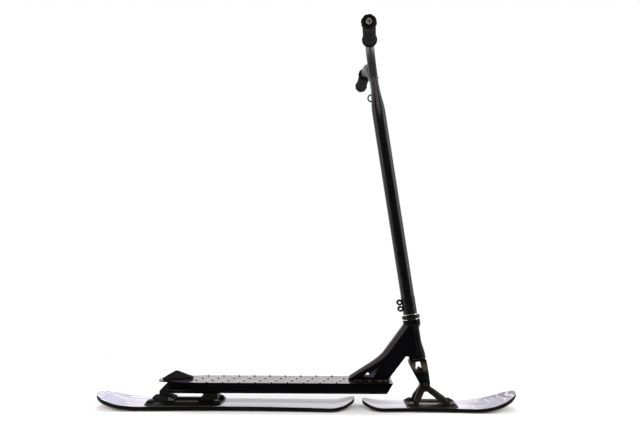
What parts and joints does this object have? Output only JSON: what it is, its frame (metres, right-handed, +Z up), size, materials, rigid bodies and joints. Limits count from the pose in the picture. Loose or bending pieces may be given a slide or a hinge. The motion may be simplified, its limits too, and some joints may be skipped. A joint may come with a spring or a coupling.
{
  "type": "snow scooter",
  "caption": "Stand-on scooter for snow: a studded deck on a long rear ski, a short steered front ski on a raked fork, and a tall T-shaped bar with grips.",
  "frame": {"origin": "on the snow, under the middle of the overall length and width", "axes": "+X forward, from the rear ski to the front ski; +Y to the rider's left; +Z up"},
  "size_m": [1.092, 0.575, 0.9247],
  "materials": {
    "ski_edge": "ground steel strip",
    "ski_base": "pale sliding base",
    "ski_core": "black side wall and core",
    "ski_top": "pale lavender topsheet",
    "nylon": "black moulded plastic",
    "chrome": "bright plated",
    "steel": "plain steel",
    "deck_paint": "satin black",
    "black_paint": "satin black brown",
    "black_anodised": "black anodised",
    "rubber": "dark rubber",
    "rubber_green": "dark green grey"
  },
  "bodies": {
    "frame": {"rear_ski_edge_left": "ski_edge", "rear_ski_edge_right": "ski_edge", "rear_ski_base": "ski_base", "rear_ski_body": "ski_core", "rear_ski_topsheet": "ski_top", "rear_mount_plate": "nylon", "rear_ski_screw_1": "chrome", "rear_ski_screw_2": "chrome", "rear_ski_screw_3": "chrome", "rear_ski_screw_4": "chrome", "deck": "deck_paint", "foot_stop": "rubber", "foot_stop_screw_left": "steel", "foot_stop_screw_right": "steel", "head_tube": "deck_paint", "neck": "deck_paint", "rear_adaptor": "nylon", "rear_block": "rubber_green", "block_bolt": "black_anodised", "block_nut": "black_anodised", "nut_strip": "steel", "adaptor_bolt_1": "steel", "adaptor_bolt_2": "steel", "lower_bearing": "steel", "upper_bearing": "steel", "headset_cup_ring": "chrome"},
    "steering": {"crown_race": "steel", "compression_ring": "steel", "headset_cover": "black_anodised", "spacer_ring": "chrome", "fork": "black_paint", "axle_bolt": "steel", "axle_nut": "steel", "lock_bolt": "steel", "front_adaptor": "nylon", "front_ski_edge_left": "ski_edge", "front_ski_edge_right": "ski_edge", "front_ski_base": "ski_base", "front_ski_body": "ski_core", "front_ski_topsheet": "ski_top", "front_mount_plate": "nylon", "front_ski_screw_1": "chrome", "front_ski_screw_2": "chrome", "front_ski_screw_3": "chrome", "front_ski_screw_4": "chrome", "down_tube": "black_paint", "shim_sleeve": "steel", "wing_left": "black_paint", "wing_right": "black_paint", "grip_left": "rubber", "grip_right": "rubber", "end_plug_left": "black_anodised", "end_plug_right": "black_anodised", "bar_clamp": "black_anodised", "clamp_bolt_lower": "chrome", "clamp_bolt_upper": "chrome", "star_nut": "steel", "compression_cap": "black_anodised", "compression_bolt": "steel", "leash_loop": "black_paint"}
  },
  "joints": [
    {"name": "steering_turn", "type": "hinge", "parent": "frame", "child": "steering", "pos_m": [0.3103, 0, 0], "axis": [-0.1542, 0, 0.988], "continuous": true}
  ]
}
